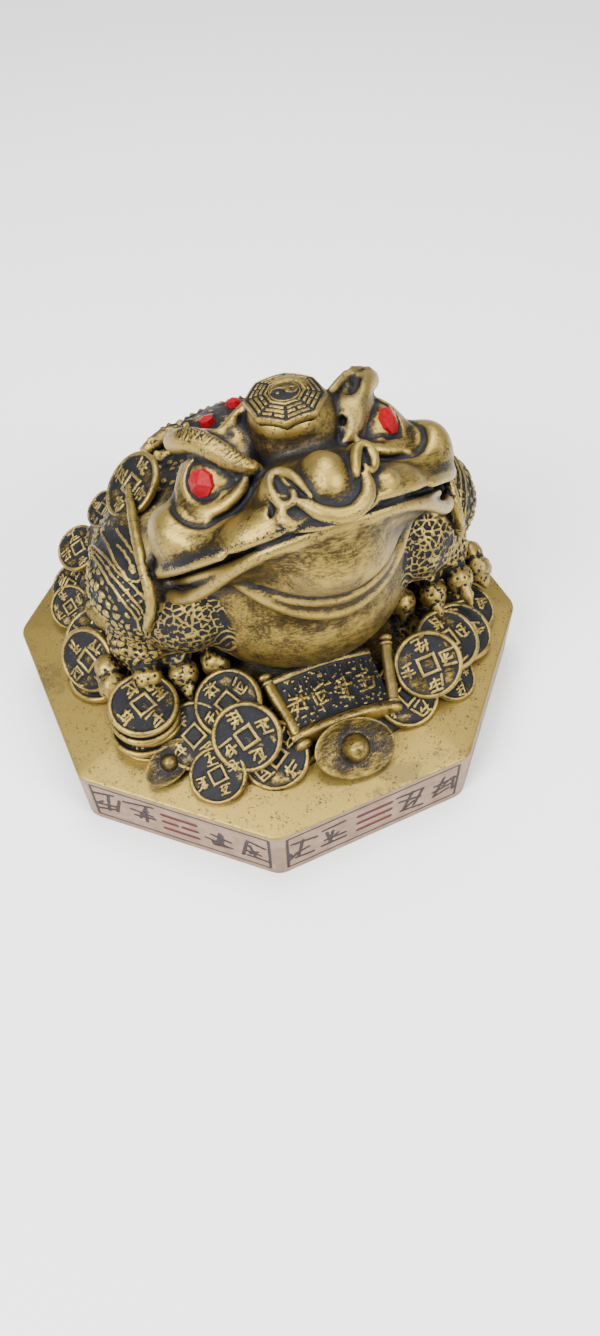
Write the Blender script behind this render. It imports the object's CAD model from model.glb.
import bpy
import numpy as np
from math import sin, cos, radians, pi, sqrt, hypot
from mathutils import Matrix, Vector


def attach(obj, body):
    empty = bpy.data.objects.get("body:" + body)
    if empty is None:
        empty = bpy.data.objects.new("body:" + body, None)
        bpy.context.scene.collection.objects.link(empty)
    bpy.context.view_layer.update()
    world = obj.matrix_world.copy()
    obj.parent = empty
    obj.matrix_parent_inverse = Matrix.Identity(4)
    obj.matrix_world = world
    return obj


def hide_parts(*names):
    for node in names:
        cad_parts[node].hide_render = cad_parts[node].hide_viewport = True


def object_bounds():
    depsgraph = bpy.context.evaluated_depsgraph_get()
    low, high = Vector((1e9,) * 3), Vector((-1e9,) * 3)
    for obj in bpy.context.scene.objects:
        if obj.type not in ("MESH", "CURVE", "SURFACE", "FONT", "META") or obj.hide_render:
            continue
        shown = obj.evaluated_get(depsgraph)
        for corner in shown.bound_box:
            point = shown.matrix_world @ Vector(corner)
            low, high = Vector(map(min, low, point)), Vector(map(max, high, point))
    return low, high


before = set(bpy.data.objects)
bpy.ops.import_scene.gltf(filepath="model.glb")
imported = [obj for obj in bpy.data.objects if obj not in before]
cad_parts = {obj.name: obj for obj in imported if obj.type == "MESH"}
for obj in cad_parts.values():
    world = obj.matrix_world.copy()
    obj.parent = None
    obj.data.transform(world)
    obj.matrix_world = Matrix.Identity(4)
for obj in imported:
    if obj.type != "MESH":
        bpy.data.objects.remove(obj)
cad_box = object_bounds()

# The base: a low eight-sided slab of resin, cast in one with the figure. Its top is brushed gold,
# its sides are tan panels with a thin frame line, groups of short strokes and a trigram of three
# red bars, all sunk a little, and its corners are a little rounded.
BASE_FLATS, BASE_HEIGHT, BASE_CORNER, BASE_EDGE = 160.0, 23.6, 3.0, 0.8
casting_parts = []


def grid_faces(rows, columns, closed=False):
    """Four-cornered faces over a grid of points kept row by row."""
    across = columns if closed else columns - 1
    r, c = np.meshgrid(np.arange(rows - 1), np.arange(across), indexing="ij")
    a, b = r * columns + c, r * columns + (c + 1) % columns
    return np.stack([a, b, b + columns, a + columns], -1).reshape(-1, 4)


def smooth_step(low, high, value):
    t = np.clip((value - low) / (high - low), 0, 1)
    return t * t * (3 - 2 * t)


def bar(u, v, u0, v0, u1, v1, half):
    """How far points are outside a straight stroke with round ends."""
    du, dv = u1 - u0, v1 - v0
    t = np.clip(((u - u0) * du + (v - v0) * dv) / (du * du + dv * dv + 1e-9), 0, 1)
    return np.hypot(u - u0 - t * du, v - v0 - t * dv) - half


def unmarked(places):
    """A distance far from every stroke, for each place."""
    return np.full(places.shape, 9.0)


def stroke_group(u, v, size, half, draw):
    """A handful of strokes in a square, crossed and set side by side, that spell nothing."""
    far, s = unmarked(u), size / 2
    for row in draw.permutation([-0.8, -0.3, 0.25, 0.8])[:3]:
        a, b = draw.uniform(-0.95, -0.35), draw.uniform(0.3, 0.95)
        row_end = (row + draw.uniform(-0.35, 0.35)) * s
        far = np.minimum(far, bar(u, v, a * s, row * s, b * s, row_end, half))
    for _ in range(2):
        x = draw.uniform(-0.7, 0.7)
        foot = draw.uniform(-0.9, -0.4) * s
        head_x, head = (x + draw.uniform(-0.5, 0.5)) * s, draw.uniform(0.3, 0.95) * s
        far = np.minimum(far, bar(u, v, x * s, foot, head_x, head, half))
    x, y = draw.uniform(-0.5, 0.5, 2)
    return np.minimum(far, bar(u, v, x * s, y * s, (x - 0.45) * s, (y - 0.45) * s, half * 0.9))


FINISH = ("fine_rise", "broad_rise", "dark_ground", "side_paint")


def placed(name, data):
    """A new object, put into the scene."""
    piece = bpy.data.objects.new(name, data)
    bpy.context.scene.collection.objects.link(piece)
    return piece


def finished_mesh(name, points, faces, finish):
    """A mesh that carries its finish at its points."""
    mesh = bpy.data.meshes.new(name)
    mesh.from_pydata(points.tolist(), [], faces.tolist())
    for k, layer in enumerate(FINISH):
        values = mesh.attributes.new(layer, "FLOAT", "POINT").data
        values.foreach_set("value", finish[:, k].astype(np.float32))
    return mesh


def thinned(points, faces, finish, share):
    """The same surface with fewer faces where it is flat, and its finish carried along."""
    dense = finished_mesh("dense", points, faces, finish)
    holder = placed("dense", dense)
    fewer = holder.modifiers.new("fewer", "DECIMATE")
    fewer.ratio = share
    bpy.context.view_layer.update()
    result = holder.evaluated_get(bpy.context.evaluated_depsgraph_get()).to_mesh()
    result.calc_loop_triangles()
    spots = np.empty(len(result.vertices) * 3, np.float32)
    result.vertices.foreach_get("co", spots)
    corners = np.empty(len(result.loop_triangles) * 3, np.int32)
    result.loop_triangles.foreach_get("vertices", corners)
    kept = np.empty((len(FINISH), len(result.vertices)), np.float32)
    for k, layer in enumerate(FINISH):
        result.attributes[layer].data.foreach_get("value", kept[k])
    bpy.data.objects.remove(holder)
    bpy.data.meshes.remove(dense)
    return spots.reshape(-1, 3).astype(float), corners.reshape(-1, 3), kept.T.astype(float)


def vertex_normals(points, faces):
    """Normals at the points, from the two diagonals of each face."""
    a, b, c, d = (points[faces[:, k]] for k in range(4))
    turned = np.cross(c - a, d - b)
    total = np.zeros_like(points)
    for k in range(4):
        for axis in range(3):
            total[:, axis] += np.bincount(faces[:, k], turned[:, axis], len(points))
    return total / (np.linalg.norm(total, axis=1)[:, None] + 1e-12)


def evened(points, faces, rounds):
    """The points drawn halfway to the mean of their neighbours, again and again."""
    n = len(points)
    a = np.concatenate([faces[:, k] for k in range(4)])
    b = np.concatenate([faces[:, (k + 1) % 4] for k in range(4)])
    count = np.bincount(a, minlength=n) + np.bincount(b, minlength=n) + 1e-9
    out = points.copy()
    for _ in range(rounds):
        for axis in range(3):
            column = out[:, axis]
            mean = (np.bincount(a, column[b], n) + np.bincount(b, column[a], n)) / count
            out[:, axis] = column + 0.5 * (mean - column)
    return out


def add_to_casting(points, faces, dark, keep_share, fine_rounds, broad_rounds, paint=None):
    """Measures hollows and ridges on the full surface, thins it, and stores it with its finish."""
    normals = vertex_normals(points, faces)
    fine, broad = (np.sum((points - evened(points, faces, rounds)) * normals, axis=1)
                   for rounds in (fine_rounds, broad_rounds))
    paint = np.zeros(len(points)) if paint is None else paint
    finish = np.stack([fine, broad, dark, paint], 1)
    if keep_share < 1:
        points, faces, finish = thinned(points, faces, finish, keep_share)
    else:
        faces = np.concatenate([faces[:, [0, 1, 2]], faces[:, [0, 2, 3]]])
    casting_parts.append((points, faces, finish))


def base_outline(steps_per_side, corner_steps):
    """The octagon's outline with rounded corners, in rows of a point, its outward direction, the
    side's number and the place along that side."""
    middle = BASE_FLATS / 2
    half_side = middle * np.tan(pi / 8) - BASE_CORNER
    rows = []
    for side in range(8):
        look = radians(45 * side - 90)
        (out, along), (next_out, next_along) = (
            (np.array([cos(a), sin(a)]), np.array([-sin(a), cos(a)]))
            for a in (look, look + radians(45)))
        for s in np.linspace(-half_side, half_side, steps_per_side):
            rows.append([*(out * middle + along * s), *out, side, s])
        start, end = out * middle + along * half_side, next_out * middle - next_along * half_side
        corner = out * middle + along * (half_side + BASE_CORNER)
        for t in np.linspace(0, 1, corner_steps + 2)[1:-1]:
            at = (1 - t) ** 2 * start + 2 * t * (1 - t) * corner + t * t * end
            way = out * (1 - t) + next_out * t
            rows.append([*at, *(way / hypot(*way)), side, half_side + BASE_CORNER * t * 2])
    return np.array(rows)


def scatter(cells, seed):
    """A fixed random value from 0 to 1 for each whole-numbered cell."""
    h = cells[:, 0] * 374761393 + cells[:, 1] * 668265263 + cells[:, 2] * 2147483647
    h = (h + seed * 1274126177) & 0xffffffff
    for shift, factor in ((13, 1274126177), (16, 2246822519)):
        h = ((h ^ (h >> shift)) * factor) & 0xffffffff
    return ((h ^ (h >> 15)) & 0xffffff) / 0xffffff


def mottle(points, size, seed):
    """A soft random value from 0 to 1 that changes over about one size."""
    q = points / size
    low = np.floor(q).astype(np.int64)
    t = q - low
    t = t * t * (3 - 2 * t)
    total = np.zeros(len(points))
    for corner in np.ndindex(2, 2, 2):
        weight = np.prod(np.where(corner, t, 1 - t), axis=1)
        total += weight * scatter(low + corner, seed)
    return total


PANEL_INSET, PANEL_MARGIN, FRAME_LINE, STROKE_DEPTH = 3.2, 2.6, 0.45, 0.22
GROUP_SIZE, GROUP_STROKE, GROUP_PLACES = 12.16, 0.68, (-25, -13.5, 13.5, 25)
BAR_ROWS, BAR_HALF = (-4.4, 0, 4.4), 0.8
WHOLE_BAR, BROKEN_BAR = ((-5.6, 5.6),), ((-5.6, -1.2), (1.2, 5.6))
BROKEN_ROWS = [0, 2, 5, 0, 3, 6, 1, 2]
outline = base_outline(150, 5)
levels = np.linspace(0.8, BASE_HEIGHT - BASE_EDGE, 52)
levels = np.concatenate([[0, 0.3], levels])
ring, up = np.meshgrid(np.arange(len(outline)), levels)
u, v = outline[ring, 5], up - BASE_HEIGHT / 2
reach_u = (BASE_FLATS / 2) * np.tan(pi / 8) - PANEL_INSET
reach_v = BASE_HEIGHT / 2 - PANEL_MARGIN
frame_line = np.abs(np.maximum(np.abs(u) - reach_u, np.abs(v) - reach_v)) - FRAME_LINE
mark, red = unmarked(u), np.zeros(u.shape)
for side in range(8):
    bars = unmarked(u)
    for k, row in enumerate(BAR_ROWS):
        for a, b in BROKEN_BAR if BROKEN_ROWS[side] >> k & 1 else WHOLE_BAR:
            bars = np.minimum(bars, bar(u, v, a, row, b, row, BAR_HALF))
    here = np.minimum(frame_line, bars)
    draw = np.random.default_rng(40 + side)
    for place in GROUP_PLACES:
        here = np.minimum(here, stroke_group(u - place, v, GROUP_SIZE, GROUP_STROKE, draw))
    on_side = outline[ring, 4] == side
    mark = np.where(on_side, here, mark)
    red = np.where(on_side & (bars < 0.3), 1.0, red)
cut = smooth_step(0.25, -0.25, mark)
wall = np.stack([outline[ring, 0] - outline[ring, 2] * (STROKE_DEPTH * cut),
                 outline[ring, 1] - outline[ring, 3] * (STROKE_DEPTH * cut), up], -1)


def level_ring(height, share=1.0, inward=0.0):
    """The outline at a height, drawn in by a share or by a distance."""
    flat = outline[:, :2] * share - outline[:, 2:4] * inward
    return np.column_stack([flat, np.full(len(outline), height)])


under = [level_ring(0.0, share) for share in (0.02, 0.5, 0.985)]
edge_turns = [radians(t) for t in (45, 90)]
rim = [level_ring(BASE_HEIGHT - BASE_EDGE * (1 - sin(t)), inward=BASE_EDGE * (1 - cos(t)))
       for t in edge_turns]
inner = [level_ring(BASE_HEIGHT, share) for share in (0.96, 0.9, 0.82, 0.72, 0.6, 0.4, 0.2, 0.02)]
rings = under + list(wall) + rim + inner
slab = np.concatenate(rings)
paint = np.zeros((len(rings), len(outline)))
paint[len(under):len(under) + len(levels)] = 1 + cut * 0.9 + cut * red
slab_dark = 0.1 + 0.35 * smooth_step(0.58, 0.74, mottle(slab * [1, 1, 0], 9.0, 51))
slab_faces = grid_faces(len(rings), len(outline), True)
add_to_casting(slab, slab_faces, slab_dark, 0.08, 5, 40, paint.ravel())

# The coin heap: cash coins, each a disc with a raised rim, a raised square about its middle and
# raised strokes on a dark floor. They are cast with the figure and lie on each other round the
# toad, five of them in a stack, and one leans on its shoulder.
COIN_DIAMETER, COIN_THICKNESS, COIN_RIM, COIN_RELIEF, COIN_HOLE = 22.0, 2.2, 1.3, 0.6, 4.6
COIN_GROUP, COIN_GROUP_OUT, COIN_STROKE = 5.2, 6.6, 0.4
TOAD_TURN, TOAD_SHIFT = -3.84, 6.6


def stand(points):
    """From the toad's own places to the part's: turned and shifted a little, on top of the base."""
    c, s = cos(radians(TOAD_TURN)), sin(radians(TOAD_TURN))
    return np.stack([c * points[:, 0] - s * points[:, 1] + TOAD_SHIFT,
                     s * points[:, 0] + c * points[:, 1], points[:, 2] + BASE_HEIGHT], 1)


def about(axis, angle):
    return np.array(Matrix.Rotation(radians(angle), 3, axis))


def mottled(x, y, layer, size, seed):
    """The soft random value over a flat grid."""
    spots = np.stack([x.ravel(), y.ravel(), np.full(x.size, float(layer))], 1)
    return mottle(spots, size, seed).reshape(x.shape)


def coin(seed):
    """A coin lying flat about the origin, with its face up: points, faces and how dark it is."""
    half, top = COIN_DIAMETER / 2, COIN_THICKNESS / 2
    draw = np.random.default_rng(seed)
    n = 70
    a = np.linspace(-1, 1, n)
    x, y = np.meshgrid(a, a)
    x, y = x * np.sqrt(1 - y * y / 2) * half, y * np.sqrt(1 - x * x / 2) * half
    r, square = np.hypot(x, y), np.maximum(np.abs(x), np.abs(y))
    mark = np.abs(square - (COIN_HOLE / 2 + 0.45)) - 0.5
    for turn in range(4):
        gx, gy = x - COIN_GROUP_OUT * sin(turn * pi / 2), y - COIN_GROUP_OUT * cos(turn * pi / 2)
        mark = np.minimum(mark, stroke_group(gx, gy, COIN_GROUP, COIN_STROKE, draw))
    height = top - COIN_RELIEF + 0.12 * (mottled(x, y, 0, 1.1, seed) - 0.5)
    height = height - 0.25 * smooth_step(0.1, -0.3, square - COIN_HOLE / 2)
    height = height + (COIN_RELIEF - 0.1) * smooth_step(0.22, -0.2, mark)
    rim = smooth_step(half - COIN_RIM - 0.35, half - COIN_RIM + 0.2, r)
    height = height * (1 - rim) + top * rim - 0.5 * smooth_step(half - 0.5, half, r)
    worn = smooth_step(0.52, 0.66, mottled(x, y, seed, 4.5, 7))
    dark = (1 - rim) * (1 - smooth_step(0.15, -0.1, mark)) * (1 - 0.85 * worn)
    face = np.stack([x, y, height], -1).reshape(-1, 3)
    edge = np.concatenate([np.arange(n), np.arange(1, n) * n + n - 1,
                           (n - 1) * n + np.arange(n - 2, -1, -1), np.arange(n - 2, 0, -1) * n])
    points = np.concatenate([face] + [
        face[edge] * [share, share, 0] + [0, 0, z]
        for share, z in ((1, top - 1.1), (1, -top + 0.4), (0.97, -top), (0.5, -top))])
    faces = [grid_faces(n, n)]
    rings = [edge] + [n * n + k * len(edge) + np.arange(len(edge)) for k in range(4)]
    for upper, lower in zip(rings[:-1], rings[1:]):
        faces.append(np.stack([upper, lower, np.roll(lower, -1), np.roll(upper, -1)], 1))
    dark = np.concatenate([dark.ravel(), np.zeros(len(points) - n * n)])
    return points, np.concatenate(faces), dark


FULL_COINS = [[-32.3, -52.3, 12.5, -31, 43, 10, 1], [-43.9, -57.1, 4.6, -30, 26, 5, 0.82],
              [-34, -40, 15, -50, 27, 25, 1], [-58.5, -31, 15.5, 0, 8, 20, 1],
              [-70, -3, 10, -56, 56, 15, 1], [-69.9, 24, 7.3, -50, 40, 5, 0.7],
              [-41.5, 15.6, 60.4, -89, 40, 15, 1], [30.2, -49.2, 13.5, -25, 44, 0, 1],
              [-25.5, -57.7, 5.7, -30, 34, 30, 1], [-46.5, -43, 8, -45, 30, 20, 1],
              [42, -40, 9.5, 20, 20, 15, 1], [21.6, -52.4, 6, 10, 30, 30, 1],
              [-18, -52, 5, -10, 24, 0, 1], [-67.5, -4, 3.2, -60, 12, 0, 1],
              [-66.5, 9, 6, -70, 30, 40, 1], [-67.6, 34, 6.7, -74, 37, 30, 0.75],
              [-61.2, 36, 21.4, -69, 31, 0, 0.75], [-50.2, 33, 38.3, -88, 36, 20, 0.6],
              [49.5, -36, 5.6, 30, 18, 0, 1], [39, -50.5, 3.8, 21, 24, 10, 0.75],
              [56, -26, 4, 40, 10, 0, 1], [58, -3, 5, 70, 20, 20, 1]]
BACK_COINS, BACK_STEP, STACK_COINS, STACK_STEP = 7, 25, 5, 2.7
coin_places = list(FULL_COINS)
for i in range(BACK_COINS):
    turn, raised = 12 + i * BACK_STEP, i % 2
    coin_places.append([cos(radians(turn)) * (61 - 2 * raised),
                        10 + sin(radians(turn)) * (56 - 2 * raised), 4.5 + 2.5 * raised,
                        turn + 90, 26 + 12 * raised, i * BACK_STEP, 1])
for i in range(STACK_COINS):
    shift = 1.3 * sin(i * 2.4)
    coin_places.append([-58.5 + shift, -32 + shift * 0.6, 0.7 + i * STACK_STEP, 0, 0, i * 31, 1])
for i, (x, y, z, facing, lean_angle, turn, across) in enumerate(coin_places):
    in_sight = i < len(FULL_COINS) or i == len(coin_places) - 1
    points, faces, dark = coin(i + 3)
    points = points * [across, across, 1]
    set_down = about("Z", facing) @ about("X", lean_angle) @ about("Z", turn - facing)
    points = stand(points @ set_down.T + [x, y, z])
    add_to_casting(points, faces, dark, 0.19 if in_sight else 0.07, 2, 10)

# The scroll: an arched sheet with a rolled border above and below, four groups of strokes on a
# speckled floor, and a turned rod with end knobs down each side. It is cast with the figure and
# leans forward on the heap.
SHEET_HALF, SHEET_DEPTH, SHEET_ARCH, SHEET_BODY, SHEET_LEAN = 17.0, 22.0, 3.75, 9.0, 14.0
SHEET_FIRST, SHEET_PITCH, SHEET_GROUP, SHEET_STROKE = 11.2, 7.5, 6.6, 0.5
SHEET_PLACE = np.array([-2.5, -47.5, 12.5])
columns, rows = ((150, 96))
u, v = np.meshgrid(np.linspace(-SHEET_HALF, SHEET_HALF, columns),
                   np.linspace(-SHEET_DEPTH / 2, SHEET_DEPTH / 2, rows))
draw = np.random.default_rng(5)
mark = unmarked(u)
for k in range(4):
    across = u + SHEET_FIRST - k * SHEET_PITCH
    mark = np.minimum(mark, stroke_group(across, v + 0.5, SHEET_GROUP, SHEET_STROKE, draw))
speckle = smooth_step(0.68, 0.86, mottled(u, v, 0, 0.8, 31))
border = smooth_step(8.0, 8.5, np.abs(v - 0.2))
height = SHEET_ARCH * (1 - (u / SHEET_HALF) ** 2) + 0.45 * smooth_step(0.25, -0.25, mark)
height += border * (0.7 + 0.3 * np.cos((np.abs(v) - 9.6) * 1.6)) + 0.22 * speckle * (1 - border)
height -= 0.5 * smooth_step(SHEET_DEPTH / 2 - 0.5, SHEET_DEPTH / 2, np.abs(v))
top_sheet = np.stack([u, v, height], -1)
low_sheet = np.stack([u, v, np.full(u.shape, -SHEET_BODY)], -1)[[0, -1]]
sheet_rows = np.concatenate([low_sheet[:1], top_sheet, low_sheet[1:]])
points = stand(sheet_rows.reshape(-1, 3) @ about("X", SHEET_LEAN).T + SHEET_PLACE)
dark = (1 - border) * (1 - smooth_step(0.2, -0.2, mark)) * (1 - 0.8 * speckle)
dark = np.concatenate([dark[:1], dark, dark[-1:]]).ravel()
add_to_casting(points, grid_faces(rows + 2, columns), dark, 0.24, 2, 12)

RODS = [([-20.7, -34.7, 15.8], [-16.4, -61, 8.6], 1.15), ([21.2, -35, 16.8], [14.4, -59, 8.9], 1)]
ROD_TURNING = [(0, 0.2), (0.01, 1.6), (0.035, 2.3), (0.065, 2.3), (0.085, 1.7), (0.1, 1.7),
               (0.115, 2.2), (0.135, 2.2), (0.15, 1.8), (0.84, 1.8), (0.855, 2.2), (0.875, 2.2),
               (0.89, 1.7), (0.905, 1.8), (0.93, 2.5), (0.97, 2.5), (0.99, 1.8), (1, 0.2)]
ROD_FACETS = 24


def full_turn(steps):
    return np.linspace(0, 2 * pi, steps, endpoint=False)


for start, end, stout in RODS:
    start, end = np.array(start), np.array(end)
    way = (end - start) / np.linalg.norm(end - start)
    side = np.cross(way, [0, 0, 1])
    side /= np.linalg.norm(side)
    over = np.cross(side, way)
    at, half = np.array(ROD_TURNING).T
    along = np.unique(np.concatenate([np.linspace(0, 1, 50), at]))
    wide = np.interp(along, at, half) * stout
    turn = full_turn(ROD_FACETS)[None, :, None]
    points = (start + (end - start) * along[:, None, None]
              + wide[:, None, None] * (np.cos(turn) * side + np.sin(turn) * over)).reshape(-1, 3)
    rod_faces = grid_faces(len(along), ROD_FACETS, True)[:, ::-1]
    add_to_casting(stand(points), rod_faces, np.zeros(len(points)), 1, 2, 8)

# The ingots: boat-shaped lumps, each an oval dish with a ball in its hollow, one before the scroll
# and a half-buried one beside the stack. They are cast with the figure and worn bright on the rim
# and the ball.
INGOTS = [[-2.2, -65.5, 7.5, 13, 9.6, -8, 42], [-56.5, -47, 4, 9, 5.5, 30, 24]]
DISH = [(0, -4), (0.3, -3.9), (0.55, -3.4), (0.75, -2.2), (0.9, -0.5), (0.985, 0.7), (1, 1.1),
        (0.985, 1.35), (0.95, 1.4), (0.9, 1.25), (0.8, 0.85), (0.7, 0.55), (0.6, 0.35), (0.52, 0.6),
        (0.46, 2.2), (0.38, 3.9), (0.28, 5.0), (0.15, 5.6), (0, 5.8)]
DISH_RINGS, DISH_FACETS, BALL_SHARE, BALL_FOOT, BALL_FOR = 90, 96, 0.92, 1.5, 9.6
ring = np.arange(DISH_RINGS)
shares, heights = np.array(DISH, float).T
share, high = (np.interp(np.linspace(0, len(DISH) - 1, DISH_RINGS), np.arange(len(DISH)), stops)
               for stops in (shares, heights))
share, high = share[:, None], high[:, None]
turn = full_turn(DISH_FACETS)
dish_faces = grid_faces(DISH_RINGS, DISH_FACETS, True)
for x, y, z, long, wide, turn_angle, lean_angle in INGOTS:
    round_off = smooth_step(52, 64, ring)[:, None]
    length, width = (half * share * (1 - round_off) + wide * BALL_SHARE * share * round_off
                     for half in (long, wide))
    raised = np.where(high > BALL_FOOT, BALL_FOOT + (high - BALL_FOOT) * wide / BALL_FOR, high)
    points = np.stack([length * np.cos(turn), width * np.sin(turn), raised + 0 * turn], -1)
    points = evened(points.reshape(-1, 3), dish_faces, 3)
    set_down = about("X", lean_angle) @ about("Z", turn_angle)
    dark = np.repeat(smooth_step(46, 54, ring) * smooth_step(66, 58, ring), DISH_FACETS) * 0.35
    add_to_casting(stand(points @ set_down.T + [x, y, z]), dish_faces, dark, 0.2, 3, 16)

# The toad's body: hunched, low at the back, with rounded shoulders, folded hind legs and a throat
# that hangs like a full pouch. It was modelled in clay before the mould was made, so it is built up
# here from rounded masses and rolls that melt into each other, and then given a skin.
STEP = 0.5


class Clay:
    """A block of space in millimetres that knows how deep each point lies in the clay."""

    def __init__(self, low, high, step):
        self.step = step
        self.axes = [np.arange(a, b + step / 2, step, dtype=np.float32) for a, b in zip(low, high)]
        self.depth = np.full([len(a) for a in self.axes], 20, np.float32)

    def window(self, low, high, reach):
        spans = ((np.searchsorted(a, l - reach), np.searchsorted(a, h + reach))
                 for a, l, h in zip(self.axes, low, high))
        return tuple(slice(max(int(first) - 1, 0), int(last) + 1) for first, last in spans)

    def places(self, window):
        x, y, z = (a[w] for a, w in zip(self.axes, window))
        return x[:, None, None], y[None, :, None], z[None, None, :]

    def blend(self, window, shape, soft, cut=False):
        here = self.depth[window]
        other = -shape if cut else shape
        bridge = np.maximum(soft - np.abs(here - other), 0) ** 2 / (4 * soft)
        melted = np.maximum(here, other) + bridge if cut else np.minimum(here, other) - bridge
        self.depth[window] = melted

    def whole(self):
        """Both halves of the toad in one block."""
        both = Clay((0, 0, 0), (0, 0, 0), self.step)
        both.axes = [np.concatenate([-self.axes[0][:0:-1], self.axes[0]]), *self.axes[1:]]
        both.depth = np.concatenate([self.depth[:0:-1], self.depth])
        return both


clay = Clay((0, -66, -2), (70, 66, 106), STEP)


def mass(middle, halves, turn=np.eye(3), soft=3.0, cut=False, keep=None, ease=1.6):
    """A rounded mass pressed on to the clay, or scooped out of it."""
    c, r = np.array(middle, float), np.array(halves, float)
    reach = np.sqrt((turn ** 2) @ (r ** 2))
    w = clay.window(c - reach, c + reach, soft + 2 * STEP)
    x, y, z = (a - b for a, b in zip(clay.places(w), c))
    u, v, t = ((turn[0, k] * x + turn[1, k] * y + turn[2, k] * z) / r[k] for k in range(3))
    k0 = np.sqrt(u * u + v * v + t * t) + 1e-6
    k1 = np.sqrt((u / r[0]) ** 2 + (v / r[1]) ** 2 + (t / r[2]) ** 2) + 1e-6
    far = (k0 * (k0 - 1) / k1).astype(np.float32)
    if keep is not None:
        limit = keep(*clay.places(w)).astype(np.float32)
        far = np.maximum(far, limit) + np.maximum(ease - np.abs(far - limit), 0) ** 2 / (4 * ease)
    clay.blend(w, far, soft, cut)


def smooth_line(stops, steps):
    """A smooth line through stops of place and half-width."""
    p = np.array(stops, float)
    p = np.vstack([2 * p[0] - p[1], p, 2 * p[-1] - p[-2]])
    out = []
    for a, b, c, d in zip(p[:-3], p[1:-2], p[2:-1], p[3:]):
        for t in np.arange(steps) / steps:
            out.append((2 * b + (c - a) * t + (2 * a - 5 * b + 4 * c - d) * t * t
                        + (3 * b - a - 3 * c + d) * t ** 3) / 2)
    out.append(p[-2])
    return np.array(out)


def roll(stops, soft=1.5, cut=False):
    """A tapered roll of clay laid along a smooth line, or a groove cut along it."""
    line = smooth_line(stops, 5)
    reach, wide = soft + 2 * STEP, line[:, 3:4]
    w = clay.window((line[:, :3] - wide).min(0), (line[:, :3] + wide).max(0), reach)
    far = np.full(clay.depth[w].shape, 99, np.float32)
    for a, b in zip(line[:-1], line[1:]):
        g = max(a[3], b[3])
        near = clay.window(np.minimum(a, b)[:3] - g, np.maximum(a, b)[:3] + g, reach)
        starts = [max(p.start, q.start) for p, q in zip(near, w)]
        stops = [max(min(p.stop, q.stop), start) for p, q, start in zip(near, w, starts)]
        x, y, z = clay.places(tuple(map(slice, starts, stops)))
        sub = tuple(slice(i - q.start, j - q.start) for i, j, q in zip(starts, stops, w))
        s = b[:3] - a[:3]
        run = (x - a[0]) * s[0] + (y - a[1]) * s[1] + (z - a[2]) * s[2]
        h = np.clip(run / (float(s @ s) + 1e-9), 0, 1)
        away = np.sqrt((x - a[0] - h * s[0]) ** 2 + (y - a[1] - h * s[1]) ** 2
                       + (z - a[2] - h * s[2]) ** 2)
        far[sub] = np.minimum(far[sub], away - (a[3] + (b[3] - a[3]) * h))
    clay.blend(w, far, soft, cut)


mass((0, 19, 28), (46, 45, 36))
mass((0, 4, 48), (36, 25, 26), soft=6)
mass((43.5, -5, 40.5), (20, 19.5, 17.5), soft=4)
mass((44, 7, 37), (15, 19, 19), soft=6)
mass((31, 9, 42), (19, 20, 19), soft=6)
mass((47, -8, 21), (15, 13, 13), soft=4)
mass((38, -17, 37), (13, 13, 13.5), soft=4)
mass((43, 33, 19), (15.5, 22, 17), about("Z", 18), soft=4)
mass((43.5, 32, 31.5), (9.5, 9.5, 9.5), soft=4)
mass((54, 20, 8), (12, 19, 8), about("Z", -10), soft=4)
mass((0, 0, 0), (68, 62, 10), soft=3)
mass((0, -12.5, 33), (36, 31, 29.5), soft=4)
mass((0, -8, 48), (38, 30, 20), soft=6)

# The forefeet and the straps: four fanned toes a side, each a pitted knuckle and a pointed claw,
# and a furred strap that comes down from behind the brow over the shoulder to the wrist. They are
# modelled on the same clay.
TOES = [[64.5, -12, 13, 66.5, -22, 6], [54, -16.5, 18.5, 55.5, -31, 11],
        [43.5, -19, 18, 43.5, -32.5, 10.5], [33, -19, 17, 31.5, -28.5, 11.5]]
for x, y, z, tip_x, tip_y, tip_z in TOES:
    knuckle, tip = np.array([x, y, z], float), np.array([tip_x, tip_y, tip_z], float)
    joint = knuckle + (tip - knuckle) * 0.45
    middle = (knuckle + joint) / 2
    mass(middle + [0, 3.2, 1.8], (4.3, 4.6, 4.4), soft=1.5)
    mass(middle + [0, -2.6, -0.6], (4.9, 4.6, 4.9), soft=1)
    roll([[*joint, 3.2], [*((joint + tip) / 2 + [0, -0.4, 0.6]), 2.3], [*tip, 0.5]], soft=0.4)
STRAP = [(42.5, 16, 60, 1.2), (45, 3, 61, 1.6), (46.5, -7, 61.2, 1.7), (47.5, -16, 60.5, 1.8),
         (48, -22, 56, 1.8), (49, -25, 50.5, 1.6), (50.5, -24.5, 44, 1.2), (51.3, -22, 38, 0.7)]
roll(STRAP, soft=0.8)

# The head: a flat skull above the lip line, a blunt snout, a wide bowl of a jaw below it, and the
# long bright roll of the chin, all modelled on the same clay. It is tilted nose up and leans a
# little to the toad's right, so it is laid out from the lip line: sideways, forward and up.
HEAD_TILT, HEAD_LEAN, LEAN_HEIGHT = 45, -3.6, np.array([0, 0, 78])
HEAD_SEAT = np.array([0, -15.4, 55.3])
MOUTH_GAP, LIP_RISE, LIP_DROOP, LIP_HALF = 2.2, 2.1, 2.6, 42
TILT_SHARE = sqrt(0.5)
clay = clay.whole()


def leant(place):
    """A place on an upright head, moved to where it comes on the leaning one."""
    return about("Y", HEAD_LEAN) @ (np.array(place) - LEAN_HEIGHT) + LEAN_HEIGHT


def on_head(side, forward, up):
    return leant([side, HEAD_SEAT[1] + (up - forward) * TILT_SHARE,
                  HEAD_SEAT[2] + (up + forward) * TILT_SHARE])


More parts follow.
